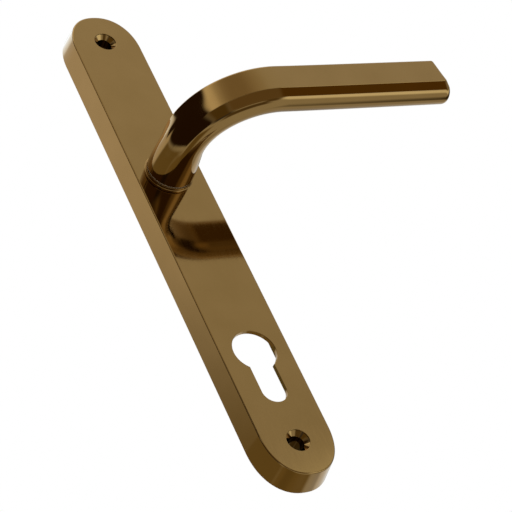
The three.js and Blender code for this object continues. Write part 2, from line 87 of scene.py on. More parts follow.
HUB_SLEEVE, HUB_FLANGE, HUB_FRONT, HUB_FLANGE_FRONT, HUB_BACK = 9.2, 11.4, -6.6, -3.0, -2.2

NECK_RADIUS, NECK_BASE_Y, NECK_EDGE = 9.9, -12.7, 0.35
JOURNAL_RADIUS, JOURNAL_BACK = 8.0, -6.9
SHANK_RADIUS, SHANK_FLAT, SHANK_BACK = 7.2, 5.8, -0.35
GROOVE_RADIUS, GROOVE_FRONT, GROOVE_BACK = 6.4, -1.35, -0.5
SPINDLE_HALF, SPINDLE_DEPTH = 4.1, 22.0
CLIP_HALF, CLIP_SHEET, CLIP_RECESS, CLIP_FRONT, CLIP_BACK, CLIP_BOW = 2.4, 0.4, 0.75, -16.0, -1.2, 0.9
BEND_START_Y, BEND_ACROSS_X, GRIP_Y = -27.9, 33.6, -56.8   # a quarter of an ellipse from neck to grip
GRIP_HALF, GRIP_THICK, TIP_X = 9.4, 10.2, 113.4
GRIP_SLANT, GRIP_SLANT_EASE = 0.0163, 20.0   # how the grip leans away from the door towards its tip
GRIP_TOP_EDGE, GRIP_REAR_RADIUS, GRIP_LOWER_RADIUS = 0.8, 4.8, 4.85
GRIP_CREASE_Z, GRIP_CREASE_EASE, GRIP_BEVEL_END = -3.0, 0.3, -30.0   # the bevel ends at an angle in degrees
MORPH_START, MORPH_END = 1.5, 38.0   # along the neck and bend, where round turns into the grip's section
TIP_CORNER, TIP_EDGE, TIP_SLANT = 3.2, 0.9, 0.13   # the end face leans out towards its lower edge
# rings: inner radius, outer radius, front, back, radius of the edges
NECK_BUSH = JOURNAL_RADIUS + RUNNING, COLLAR_BORE - 0.1, -12.1, -8.05, 0.2
COLLAR_WASHER = 8.5, 9.7, -12.55, -12.2, 0.1
THRUST_WASHER = JOURNAL_RADIUS + RUNNING, 9.8, -7.15, -6.75, 0.08
FLANGE_WASHER = 9.6, 11.3, -2.15, -1.8, 0.1
WAVE_RADIUS, WAVE_Y, WAVE_HEIGHT, WAVE_COUNT, WAVE_HALF, WAVE_SHEET = 8.25, -1.65, 0.07, 3, 0.75, 0.2
CIRCLIP_INNER, CIRCLIP_OUTER, CIRCLIP_FRONT, CIRCLIP_BACK, CIRCLIP_EDGE = 6.56, 7.9, -1.25, -0.6, 0.1
EYE_AT, EYE_RADIUS, EYE_HOLE = 7.75, 1.15, 0.5
EYE_RIGHT, EYE_LEFT = math.radians(66), math.radians(114)   # where the circlip's two eyes are on the ring

SMOOTH_WITHIN = math.cos(math.radians(40))   # faces that meet at less than this angle shade as one surface
FLAT_WEIGHT = 1e3          # keeps flat faces flat up to their rounded rims


# ---- Mesh building ----
class Skin:
    """Collects loops of points in millimetres, and the faces between them, for one piece."""

    def __init__(self):
        self.points = []
        self.faces = []
        self.flat = set()

    def loop(self, points):
        first = len(self.points)
        self.points.extend(Vector(p) for p in points)
        return list(range(first, len(self.points)))

    def stack(self, outlines, closed=False):
        """Outlines joined one after the other. Gives the first and the last of them."""
        loops = [self.loop(points) for points in outlines]
        for a, b in zip(loops, loops[1:] + loops[:1] if closed else loops[1:]):
            for i in range(len(a)):
                j = (i + 1) % len(a)
                self.faces.append((a[i], a[j], b[j], b[i]))
        return loops[0], loops[-1]

    def fill(self, outer, holes=()):
        """A flat face with holes in it."""
        loops = [outer, *holes]
        flat = [i for indices in loops for i in indices]
        for triangle in tessellate_polygon([[self.points[i] for i in indices] for indices in loops]):
            self.flat.add(len(self.faces))
            self.faces.append(tuple(flat[k] for k in triangle))

    def close(self, rims):
        """Fills both ends of a shell. The first pair of rims is its outline, the others are holes in it."""
        for end in (0, 1):
            self.fill(rims[0][end], [rim[end] for rim in rims[1:]])

    def build(self, name, material):
        mesh = bpy.data.meshes.new(name)
        mesh.from_pydata([p * MM for p in self.points], [], self.faces)
        work = bmesh.new()
        work.from_mesh(mesh)
        bmesh.ops.recalc_face_normals(work, faces=work.faces)
        work.faces.ensure_lookup_table()
        weights = [
            face.calc_area() * (FLAT_WEIGHT if i in self.flat else 1) for i, face in enumerate(work.faces)
        ]
        normals = []
        for face in work.faces:
            face.smooth = True
            for corner in face.loops:
                total = Vector()
                for other in corner.vert.link_faces:
                    if other.normal.dot(face.normal) > SMOOTH_WITHIN:
                        total += other.normal * weights[other.index]
                normals.append(total.normalized() if total.length > 0 else face.normal.copy())
        work.to_mesh(mesh)
        work.free()
        mesh.normals_split_custom_set(normals)
        mesh.materials.append(material)
        piece = bpy.data.objects.new(name, mesh)
        bpy.context.scene.collection.objects.link(piece)
        return piece


def quarter(steps, flat_first):
    """Shares across and along for a quarter turn that leaves a flat face, or that leaves a wall."""
    for i in range(steps + 1):
        angle = math.pi / 2 * i / steps
        if flat_first:
            yield math.sin(angle), 1 - math.cos(angle)
        else:
            yield 1 - math.cos(angle), math.sin(angle)


def rounded(a_from, a_to, y_from, y_to, steps=5, flat_first=True):
    """Levels of (radius or growth, y) along a quarter turn."""
    return [
        (a_from + (a_to - a_from) * across, y_from + (y_to - y_from) * along)
        for across, along in quarter(steps, flat_first)
    ]


def circle(radius, y, x=0.0, z=0.0, count=96):
    """Points round an axis along Y. The radius is a number, or a function of the angle."""
    size = radius if callable(radius) else (lambda angle: radius)
    angles = [2 * math.pi * i / count for i in range(count)]
    return [(x + size(a) * math.cos(a), y, z + size(a) * math.sin(a)) for a in angles]


def disc(radius, x=0.0, z=0.0, count=96):
    return lambda grow, y: circle(radius + grow, y, x, z, count)


def rectangle(half_x, half_z, corner, x=0.0, z=0.0, steps=8):
    """An outline with rounded corners that grows outwards, its corners with it."""
    def outline(grow, y):
        radius = max(corner + grow, 1e-3)
        points = []
        for sx, sz, start in ((1, 1, 0), (-1, 1, 90), (-1, -1, 180), (1, -1, 270)):
            for i in range(steps + 1):
                angle = math.radians(start + 90 * i / steps)
                points.append((
                    x + sx * (half_x - corner) + radius * math.cos(angle), y,
                    z + sz * (half_z - corner) + radius * math.sin(angle),
                ))
        return points
    return outline


def sector(inner, outer, start, stop, corner, steps=12):
    """Part of a ring between two angles in degrees from straight down towards +X, with rounded corners."""
    def outline(grow, y):
        radius = max(corner + grow, 1e-3)
        points = []
        for side_radius, sign, first, last in ((outer, 1, start, stop), (inner, -1, stop, start)):
            centre = side_radius - sign * corner
            turn = math.degrees(corner / centre) * (1 if last > first else -1)
            for i in range(steps + 1):
                share = i / steps
                at = math.radians(first + turn + (last - first - 2 * turn) * share - 90)
                for part in ((-90, -45, 0) if i == 0 else (0, 45, 90) if i == steps else (0,)):
                    lean = at + (0 if sign > 0 else math.pi) + math.radians(part)
                    points.append((
                        centre * math.cos(at) + radius * math.cos(lean), y,
                        centre * math.sin(at) + radius * math.sin(lean),
                    ))
        return points
    return outline


def sheet(skin, outer, holes, front, back, edge, steps=3):
    """A flat piece between two depths, with every rim rounded. Outlines are functions of growth and depth."""
    def rim(outline, sign):
        turn = list(quarter(steps, True))
        levels = [(across - 1, front + edge * along) for across, along in turn]
        levels += [(across - 1, back - edge * along) for across, along in turn[::-1]]
        return skin.stack(outline(sign * edge * inset, y) for inset, y in levels)

    skin.close([rim(outer, 1)] + [rim(hole, -1) for hole in holes])


def ring_profile(inner, outer, front, back, edge, steps=3):
    """A ring's section with its four corners rounded."""
    return (
        rounded(outer - edge, outer, front, front + edge, steps)
        + rounded(outer, outer - edge, back - edge, back, steps, flat_first=False)
        + rounded(inner + edge, inner, back, back - edge, steps)
        + rounded(inner, inner + edge, front + edge, front, steps, flat_first=False)
    )


def strip_section(half_width, half_sheet, edge_across, edge_up):
    """A flat strip's section with its corners cut off."""
    inner, low = half_width - edge_across, half_sheet - edge_up
    corner = [(half_width, low), (inner, half_sheet)]
    points = [(-a, -b) for a, b in corner] + [(a, -b) for a, b in corner[::-1]]
    return points + corner + [(-a, b) for a, b in corner[::-1]]


SWEEP_ENDS = ((0.78, 0.0), (0.93, 0.07), (1.0, 0.25))   # size, and how far in as a share of the thickness


def sweep(skin, stations, section, closed=False):
    """A section carried along stations of (centre, first axis, second axis), its ends slightly rounded."""
    def placed(station, scale=1.0, shift=0.0):
        centre, across, up = station
        along = across.cross(up).normalized() * shift
        return [centre + along + across * a * scale + up * b * scale for a, b in section]

    if closed:
        skin.stack((placed(station) for station in stations), closed=True)
        return
    size = min(max(abs(a) for a, _ in section), max(abs(b) for _, b in section))
    heading = (stations[1][0] - stations[0][0]).dot(stations[0][1].cross(stations[0][2]))
    sign = 1 if heading > 0 else -1
    loops = [placed(stations[0], scale, sign * size * shift) for scale, shift in SWEEP_ENDS]
    loops += [placed(station) for station in stations[1:-1]]
    loops += [placed(stations[-1], scale, -sign * size * shift) for scale, shift in reversed(SWEEP_ENDS)]
    for rim in skin.stack(loops):
        skin.fill(rim)


def place(skin, name, material, node, body):
    """Turns a skin into the visible piece that replaces a CAD node, riding on its body if it has one."""
    piece = skin.build(name, material)
    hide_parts(node)
    if body:
        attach(piece, body)
    return piece


# ---- Backplate ----
def plate_outline(half, y, end_steps=64, side_steps=24):
    """Straight sides with rounded ends a little longer than wide, as in the CAD part."""
    offset = END_MARGIN - PLATE_BACK_HALF - PLATE_END_BULGE
    end_half = half + PLATE_END_BULGE
    top_z, bottom_z = UPPER_SCREW_Z + offset, LOWER_SCREW_Z - offset
    points = []
    for sign, centre_z, next_z in ((1, top_z, bottom_z), (-1, bottom_z, top_z)):
        for i in range(end_steps + 1):
            angle = math.pi * i / end_steps
            across = math.copysign(abs(math.cos(angle)) ** PLATE_END_POWER, math.cos(angle))
            along = abs(math.sin(angle)) ** PLATE_END_POWER
            points.append((sign * half * across, y, centre_z + sign * end_half * along))
        for i in range(1, side_steps):
            z = centre_z + (next_z - centre_z) * i / side_steps
            points.append((-sign * half, y, z))
    return points


def side_half(y):
    """Half the plate's width at a depth, on its drafted side."""
    top_half = PLATE_FRONT_HALF + PLATE_EDGE
    straight = PLATE_DEPTH - PLATE_EDGE
    return top_half + (PLATE_BACK_HALF - top_half) * (y + straight) / straight


def cutout_outline(grow, y, round_steps=72, slot_steps=36, side_steps=6):
    """The euro profile: most of a circle, and a slot with a round end below it."""
    radius, slot = CUTOUT_RADIUS + grow, CUTOUT_SLOT_HALF + grow
    meet = math.asin(slot / radius)
    slot_z = CYLINDER_Z + CUTOUT_RADIUS - CUTOUT_HEIGHT + CUTOUT_SLOT_HALF
    start, stop = -math.pi / 2 + meet, 1.5 * math.pi - meet
    points = []
    for i in range(round_steps + 1):
        angle = start + (stop - start) * i / round_steps
        points.append((radius * math.cos(angle), y, CYLINDER_Z + radius * math.sin(angle)))
    corner_z = points[-1][2]
    for i in range(1, side_steps):
        points.append((-slot, y, corner_z + (slot_z - corner_z) * i / side_steps))
    for i in range(slot_steps + 1):
        angle = math.pi + math.pi * i / slot_steps
        points.append((slot * math.cos(angle), y, slot_z + slot * math.sin(angle)))
    for i in range(1, side_steps):
        points.append((slot, y, slot_z + (corner_z - slot_z) * i / side_steps))
    return points


def build_backplate(material):
    skin = Skin()
    front, floor = -PLATE_DEPTH, -PLATE_DEPTH + PLATE_FRONT_WALL
    rim_edge, root, middle = 0.15, 0.8, -3.5

    # outside: front edge radius, drafted side, door rim; inside: wall and its root radius
    levels = rounded(PLATE_FRONT_HALF, PLATE_FRONT_HALF + PLATE_EDGE, front, front + PLATE_EDGE, 7)
    levels += [(side_half(y), y) for y in (2 * middle, middle, -rim_edge)]
    levels += [(PLATE_BACK_HALF - rim_edge, 0.0), (PLATE_BACK_HALF - PLATE_SIDE_WALL + rim_edge, 0.0)]
    levels += [(side_half(y) - PLATE_SIDE_WALL, y) for y in (-rim_edge, middle, floor + root)]
    wall = side_half(floor + root) - PLATE_SIDE_WALL
    levels += rounded(wall, wall - root, floor + root, floor, 5, flat_first=False)[1:]
    outer = skin.stack(plate_outline(half, y) for half, y in levels)

    # collar round the lever's neck, bored through to the boss behind
    foot, edge, lead_in, boss_root = 0.3, COLLAR_EDGE, 0.15, 0.5
    top = front - COLLAR_HEIGHT
    profile = rounded(COLLAR_RADIUS + foot, COLLAR_RADIUS, front, front - foot, 4)
    profile += rounded(COLLAR_RADIUS, COLLAR_RADIUS - edge, top + edge, top, 4, flat_first=False)
    profile += [(COLLAR_BORE + lead_in, top), (COLLAR_BORE, top + lead_in)]
    edge = 0.2
    profile += [(COLLAR_BORE, BOSS_BACK - edge), (COLLAR_BORE + edge, BOSS_BACK)]
    profile += [(BOSS_RADIUS - edge, BOSS_BACK), (BOSS_RADIUS, BOSS_BACK - edge)]
    profile += rounded(BOSS_RADIUS, BOSS_RADIUS + boss_root, floor + boss_root, floor, 3, flat_first=False)
    holes = [skin.stack(circle(r, y, count=160) for r, y in profile)]

    # fixing holes: lip, countersink and bore, with a pillar behind
    edge, rim, foot = 0.2, 0.3, 0.75
    for z in (UPPER_SCREW_Z, LOWER_SCREW_Z):
        profile = rounded(HOLE_HEAD + edge, HOLE_HEAD, front, front + edge, 4)
        profile += [(HOLE_HEAD, front + HOLE_LIP), (HOLE_RADIUS + edge / 2, front + HOLE_SINK - edge / 2)]
        profile += [(HOLE_RADIUS, front + HOLE_SINK + edge / 2), (HOLE_RADIUS, -edge)]
        profile += [(HOLE_RADIUS + edge, 0.0), (PILLAR_RADIUS - rim, 0.0), (PILLAR_RADIUS, -rim)]
        wide = PILLAR_RADIUS + PILLAR_DRAFT
        profile += rounded(wide, wide + foot, floor + foot, floor, 4, flat_first=False)
        holes.append(skin.stack(circle(r, y, z=z) for r, y in profile))

    # euro profile cut-out through the front wall
    edge, burr = 0.2, 0.1
    levels = rounded(edge, 0.0, front, front + edge, 4) + [(0.0, floor - burr), (burr, floor)]
    holes.append(skin.stack(cutout_outline(grow, y) for grow, y in levels))

    # bosses for the cassette's screws
    boss_feet = []
    foot, edge, lead_in = 0.4, 0.2, 0.15
    for x, z in CASSETTE_PLACES:
        profile = rounded(CASSETTE_BOSS + foot, CASSETTE_BOSS, floor, floor + foot, 3)
        profile += [(CASSETTE_BOSS, TRAY_BACK - edge), (CASSETTE_BOSS - edge, TRAY_BACK)]
        profile += [(CASSETTE_PILOT + lead_in, TRAY_BACK), (CASSETTE_PILOT, TRAY_BACK - lead_in)]
        profile += [(CASSETTE_PILOT, floor + 0.1)]
        boss_foot, pilot_floor = skin.stack(circle(r, y, x, z, 40) for r, y in profile)
        skin.fill(pilot_floor)
        boss_feet.append(boss_foot)

    skin.fill(outer[0], [hole[0] for hole in holes])
    skin.fill(outer[1], [hole[1] for hole in holes] + boss_feet)
    rib = rectangle(side_half(floor) - PLATE_SIDE_WALL + RIB_CORNER, RIB_HALF, RIB_CORNER, z=RIB_Z)
    sheet(skin, rib, [], floor - RIB_SUNK, floor + RIB_HEIGHT, RIB_EDGE)
    return place(skin, "backplate_casting", material, "backplate", "plate")


# ---- Lever ----
def grip_section():
    """The grip's section as (forward, up) pairs about its own centre, with every crease slightly eased."""
    front = GRIP_THICK / 2
    points = []

    def arc(cu, cv, radius, start, stop, steps):
        for i in range(steps + 1):
            angle = math.radians(start + (stop - start) * i / steps)
            points.append((cu + radius * math.cos(angle), cv + radius * math.sin(angle)))

    def line(a, b, steps):
        for i in range(1, steps):
            points.append((a[0] + (b[0] - a[0]) * i / steps, a[1] + (b[1] - a[1]) * i / steps))

    lower_centre = (-front + GRIP_LOWER_RADIUS, -GRIP_HALF + GRIP_LOWER_RADIUS)
    end_angle = math.radians(GRIP_BEVEL_END)
    bevel_end = (
        lower_centre[0] + GRIP_LOWER_RADIUS * math.cos(end_angle),
        lower_centre[1] + GRIP_LOWER_RADIUS * math.sin(end_angle),
    )
    crease = (front, GRIP_CREASE_Z)
    along = Vector((bevel_end[0] - crease[0], bevel_end[1] - crease[1])).normalized()
    ease = GRIP_CREASE_EASE
    # the crease between the bevel and the flat front, eased by a short curve
    for i in range(5):
        t = 1 - i / 4
        forward = crease[0] + along.x * ease * t * t
        up = crease[1] + along.y * ease * t * t + ease * (1 - t) ** 2
        points.append((forward, up))
    line((front, crease[1] + ease), (front, GRIP_HALF - GRIP_TOP_EDGE), 24)
    arc(front - GRIP_TOP_EDGE, GRIP_HALF - GRIP_TOP_EDGE, GRIP_TOP_EDGE, 0, 90, 6)
    rear_centre = -front + GRIP_REAR_RADIUS
    line((front - GRIP_TOP_EDGE, GRIP_HALF), (rear_centre, GRIP_HALF), 5)
    arc(rear_centre, GRIP_HALF - GRIP_REAR_RADIUS, GRIP_REAR_RADIUS, 90, 180, 18)
    line((-front, GRIP_HALF - GRIP_REAR_RADIUS), (-front, -GRIP_HALF + GRIP_REAR_RADIUS), 16)
    arc(rear_centre, -GRIP_HALF + GRIP_REAR_RADIUS, GRIP_REAR_RADIUS, 180, 270, 18)
    arc(*lower_centre, GRIP_LOWER_RADIUS, 273, 360 + GRIP_BEVEL_END, 14)
    line(bevel_end, (crease[0] + along.x * ease, crease[1] + along.y * ease), 9)
    return points


def lever_line():
    """Stations (x, y, outward x, outward y) from the neck round an elliptical quarter turn to the grip."""
    drop = BEND_START_Y - GRIP_Y
    neck_start = NECK_BASE_Y - 0.6           # clear of the edge at the neck's base
    stations = []
    for i in range(10):
        stations.append((0.0, neck_start + (BEND_START_Y - neck_start) * i / 10, -1.0, 0.0))
    steps = 72
    for i in range(steps + 1):
        angle = (math.pi / 2) * i / steps
        outward = Vector((-math.cos(angle) / BEND_ACROSS_X, -math.sin(angle) / drop)).normalized()
        x = BEND_ACROSS_X * (1 - math.cos(angle))
        y = BEND_START_Y - drop * math.sin(angle)
        stations.append((x, y, outward.x, outward.y))
    for i in range(1, 24):
        x = BEND_ACROSS_X + (TIP_X - TIP_CORNER - BEND_ACROSS_X) * i / 24
        stations.append((x, GRIP_Y, 0.0, -1.0))
    return stations


def smoothstep(value, low, high):
    """Rises smoothly from 0 at the low value to 1 at the high one."""
    t = min(max((value - low) / (high - low), 0.0), 1.0)
    return t * t * (3 - 2 * t)


def leaned(point):
    """Moves a point of the grip away from the door, more and more towards the tip."""
    x, y, z = point
    past = max(x - BEND_ACROSS_X, 0.0)
    return x, y - GRIP_SLANT * past ** 2 / (past + GRIP_SLANT_EASE), z


def flatted(radius, flat):
    """A round with a flat above and below, as a function of the angle."""
    return lambda angle: min(radius, flat / max(abs(math.sin(angle)), 1e-6))


def square_bore(recess):
    """The spindle bore, with or without the recess for the clip in its top side."""
    reach = SPINDLE_HALF + CLIP_RECESS

    def radius(angle):
        across, up = math.cos(angle), math.sin(angle)
        if recess and up > 0 and abs(across) * reach < (CLIP_HALF + FIT) * up:
            return reach / up
        return SPINDLE_HALF / max(abs(across), abs(up))
    return radius


def build_lever(material):
    skin = Skin()
    section = grip_section()
    angles = [math.atan2(v, u) for u, v in section]

    def axial(radius, y):
        size = radius if callable(radius) else (lambda angle: radius)
        return [(-size(a) * math.cos(a), y, size(a) * math.sin(a)) for a in angles]

    # from the floor of the spindle bore back over the shank to the neck
    plain, recessed = square_bore(False), square_bore(True)
    recess_front = CLIP_FRONT - 0.4
    shank, groove = flatted(SHANK_RADIUS, SHANK_FLAT), flatted(GROOVE_RADIUS, SHANK_FLAT)
    slim = flatted(SHANK_RADIUS - 0.35, SHANK_FLAT - 0.25)
    journal = JOURNAL_RADIUS
    loops = [axial(plain, -SPINDLE_DEPTH), axial(plain, recess_front), axial(recessed, recess_front + 0.02)]
    loops += [axial(recessed, SHANK_BACK - 0.3), axial(lambda a: recessed(a) + 0.25, SHANK_BACK)]
    loops += [axial(slim, SHANK_BACK), axial(shank, GROOVE_BACK), axial(groove, GROOVE_BACK - 0.01)]
    loops += [axial(groove, GROOVE_FRONT), axial(shank, GROOVE_FRONT - 0.01), axial(shank, JOURNAL_BACK)]
    loops += [axial(journal - 0.2, JOURNAL_BACK), axial(journal, JOURNAL_BACK - 0.2)]
    loops += [axial(journal, NECK_BASE_Y)]
    for radius, y in rounded(NECK_RADIUS - NECK_EDGE, NECK_RADIUS, NECK_BASE_Y, NECK_BASE_Y - NECK_EDGE, 4):
        loops.append(axial(radius, y))

    # the neck, the bend and the grip
    length, last = 0.0, (0.0, NECK_BASE_Y)
    for x, y, out_x, out_y in lever_line():
        length += math.hypot(x - last[0], y - last[1])
        last = (x, y)
        grip = smoothstep(length, MORPH_START, MORPH_END)
        ring = []
        for (u, v), angle in zip(section, angles):
            forward = (1 - grip) * NECK_RADIUS * math.cos(angle) + grip * u
            up = (1 - grip) * NECK_RADIUS * math.sin(angle) + grip * v
            ring.append(leaned((x + out_x * forward, y + out_y * forward, up)))
        loops.append(ring)

    # the tip: square cut, with a rounded lower corner and a small radius on every edge
    for angle in (0, 12, 24, 36, 46, 54, 61, 67, 72, 77, 81, 85, 88, 90):
        x = TIP_X - TIP_CORNER * (1 - math.sin(math.radians(angle)))
        lift = 1 - TIP_CORNER * (1 - math.cos(math.radians(angle))) / GRIP_HALF
        past = max(x - TIP_X + TIP_EDGE, 0.0)
        inset = TIP_EDGE - math.sqrt(max(TIP_EDGE ** 2 - past ** 2, 0.0))
        ring = []
        for u, v in section:
            scale = 1 - inset / math.hypot(u, v)
            up = (v * lift if v < 0 else v) * scale
            ring.append(leaned((x - TIP_SLANT * (GRIP_HALF + up), GRIP_Y - u * scale, up)))
        loops.append(ring)
    for rim in skin.stack(loops):
        skin.fill(rim)
    return place(skin, "lever_casting", material, "lever", "lever")


# ---- Spring cassette ----
def stop_block(side, start, width):
    """A block beside the fork's travel, on the right or its mirror image on the left."""
    angles = (start, start + width) if side > 0 else (-start - width, -start)
    return sector(STOP_INNER, STOP_OUTER, *angles, STOP_EDGE)


def build_tray(material):
    skin = Skin()
    rim, root, edge = 0.12, 0.4, 0.1
    floor_back = TRAY_FRONT + TRAY_SHEET
    outer = rectangle(TRAY_HALF, TRAY_END, TRAY_CORNER, steps=12)
    levels = rounded(-TRAY_BEND, 0.0, TRAY_FRONT, TRAY_FRONT + TRAY_BEND, 5)
    levels += [(0.0, TRAY_BACK - rim), (-rim, TRAY_BACK), (rim - TRAY_SHEET, TRAY_BACK)]
    levels += [(-TRAY_SHEET, TRAY_BACK - rim)]
    levels += rounded(-TRAY_SHEET, -TRAY_SHEET - root, floor_back + root, floor_back, 4, flat_first=False)
    rims = [skin.stack(outer(grow, y) for grow, y in levels)]
    levels = [(edge, TRAY_FRONT), (0.0, TRAY_FRONT + edge), (0.0, floor_back - edge), (edge, floor_back)]
    holes = [disc(TRAY_HOLE)] + [disc(CASSETTE_BOSS + 2 * FIT, x, z, 40) for x, z in CASSETTE_PLACES]
    rims += [skin.stack(hole(grow, y) for grow, y in levels) for hole in holes]
    skin.close(rims)

    # two lugs that hold the spring's front leg, and one behind each stop pad
    sunk, edge = TRAY_FRONT + TRAY_SHEET / 2, 0.2
    stop_start = STOP_ANGLE + STOP_PAD_ANGLE + STOP_LUG_GAP
    for side in (-1, 1):
        x = side * (SPRING_WIRE + FIT + LUG_HALF)
        sheet(skin, rectangle(LUG_HALF, LUG_END, LUG_CORNER, x=x, z=LUG_Z), [], sunk, SPRING_FRONT + 1, edge)
        stop = stop_block(side, stop_start, STOP_LUG_ANGLE)
        sheet(skin, stop, [], sunk, STOP_BACK, edge)
    return place(skin, "cassette_tray_pressing", material, "cassette_tray", "plate")


def build_cover(material):
    skin = Skin()
    back = COVER_FRONT + COVER_THICK
    edge = 0.15
    outer = rectangle(TRAY_HALF + COVER_MARGIN, TRAY_END + COVER_MARGIN, TRAY_CORNER + COVER_MARGIN, steps=12)
    levels = rounded(-edge, 0.0, COVER_FRONT, COVER_FRONT + edge, 3)
    levels += rounded(0.0, -edge, back - edge, back, 3, flat_first=False)
    rims = [skin.stack(outer(grow, y) for grow, y in levels)]
    bore = disc(COVER_HOLE, count=128)
    rims.append(skin.stack(bore(-grow, y) for grow, y in levels))
    clear, sink = SCREW_SHANK + 2 * FIT, SCREW_HEAD + 2 * FIT
    steps = [(clear, COVER_FRONT), (clear, COVER_FRONT + 0.1), (sink - 0.03, back - 0.1), (sink, back)]
    for x, z in CASSETTE_PLACES:
        rims.append(skin.stack(circle(r, y, x, z, 48) for r, y in steps))
    skin.close(rims)
    return place(skin, "cassette_cover_plate", material, "cassette_cover", "plate")


def cross_outline(arm, half, x, z, y):
    """A cross with rounded inner corners, for a screw's drive recess."""
    points = []
    for k in range(4):
        turn = math.radians(90 * k)
        local = [(arm, -half), (arm, half)]
        for i in range(4):
            angle = math.radians(270 - 30 * i)
            local.append((
                half + RECESS_CORNER * (1 + math.cos(angle)), half + RECESS_CORNER * (1 + math.sin(angle)),
            ))
        for a, b in local:
            points.append((
                x + a * math.cos(turn) - b * math.sin(turn), y,
                z + a * math.sin(turn) + b * math.cos(turn),
            ))
    return points


def build_cassette_screw(index, x, z, material):
    skin = Skin()
    top = COVER_FRONT + COVER_THICK - SCREW_SUNK
    tip = top - SCREW_LENGTH
    thread_top, thread_end = top - SCREW_CONE - 0.1, tip + 0.5
    count, rows, run_out, steepness = 32, 56, 8, 3.2
    body = [circle(r, y, x, z, count) for r, y in (
        (SCREW_HEAD - 0.08, top), (SCREW_HEAD, top - 0.06), (SCREW_HEAD, top - 0.15),
        (SCREW_SHANK, top - SCREW_CONE),
    )]
    for i in range(rows + 1):
        y = thread_top + (thread_end - thread_top) * i / rows
        depth = THREAD_DEPTH * min(1.0, i / run_out, (rows - i) / run_out)

        def thread(angle):
            phase = (y / THREAD_PITCH + angle / (2 * math.pi)) % 1.0
            crest = max(0.0, 1 - abs(phase - 0.5) * steepness)
            return SCREW_SHANK - THREAD_DEPTH / 2 + depth * crest

        body.append(circle(thread, y, x, z, count))
    body += [circle(r, y, x, z, count) for r, y in ((0.95, tip + 0.4), (0.55, tip))]
    head_rim, tip_rim = skin.stack(body)
    skin.fill(tip_rim)
    recess_rim, recess_floor = skin.stack(cross_outline(arm, half, x, z, y) for arm, half, y in (
        (1.4, 0.3, top), (1.34, 0.27, top - 0.1), (0.75, 0.2, top - RECESS_DEPTH),
    ))
    skin.fill(recess_floor)
    skin.fill(head_rim, [recess_rim])
    node = f"cassette_screw_{index}"
    return place(skin, f"{node}_threaded", material, node, "plate")


def build_stop_pad(name, side, material):
    skin = Skin()
    pad = stop_block(side, STOP_ANGLE, STOP_PAD_ANGLE)
    sheet(skin, pad, [], TRAY_FRONT + TRAY_SHEET, STOP_BACK, STOP_EDGE, steps=4)
    return place(skin, f"{name}_rubber", material, name, "plate")


def spring_path():
    """A helix with a straight leg outwards at each end, bent on a small radius."""
    def leg(radius_end, angle, turn, y):
        """From the leg's end inwards, then round a bend into the coil."""
        out = Vector((math.cos(angle), 0, math.sin(angle)))
        tangent = Vector((-math.sin(angle), 0, math.cos(angle))) * turn
        level = Vector((0, y, 0))
        bend_radius = SPRING_COIL + SPRING_BEND
        bend_centre = out * bend_radius + tangent * SPRING_BEND
        points = [out * (radius_end + (bend_radius - radius_end) * i / 5) + level for i in range(5)]
        for i in range(9):
            lean = math.pi / 2 * i / 8
            offset = -tangent * math.cos(lean) - out * math.sin(lean)
            points.append(bend_centre + offset * SPRING_BEND + level)
        return points

    start, total = math.pi / 2, 2 * math.pi * SPRING_TURNS
    points = leg(SPRING_FRONT_LEG, start, 1, SPRING_FRONT)
    lead = SPRING_BEND / SPRING_COIL
    steps = 150
    for i in range(1, steps):
        share = i / steps
        angle = start + lead + (total - 2 * lead) * share
        y = SPRING_FRONT + SPRING_RISE * share
        points.append(Vector((SPRING_COIL * math.cos(angle), y, SPRING_COIL * math.sin(angle))))
    return points + leg(SPRING_REAR_LEG, start + total, -1, SPRING_FRONT + SPRING_RISE)[::-1]


def build_spring(material):
    path = spring_path()
    stations = []
    side = Vector((0, 1, 0))
    for i, point in enumerate(path):
        heading = (path[min(i + 1, len(path) - 1)] - path[max(i - 1, 0)]).normalized()
        side = (side - heading * side.dot(heading)).normalized()
        stations.append((point, side, heading.cross(side)))
    count = 20
    wire = [
        (SPRING_WIRE * math.cos(2 * math.pi * k / count), SPRING_WIRE * math.sin(2 * math.pi * k / count))
        for k in range(count)
    ]
    skin = Skin()
    sweep(skin, stations, wire)
    piece = place(skin, "return_spring_wire", material, "return_spring", None)
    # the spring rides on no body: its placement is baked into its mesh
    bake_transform(piece)
    return piece


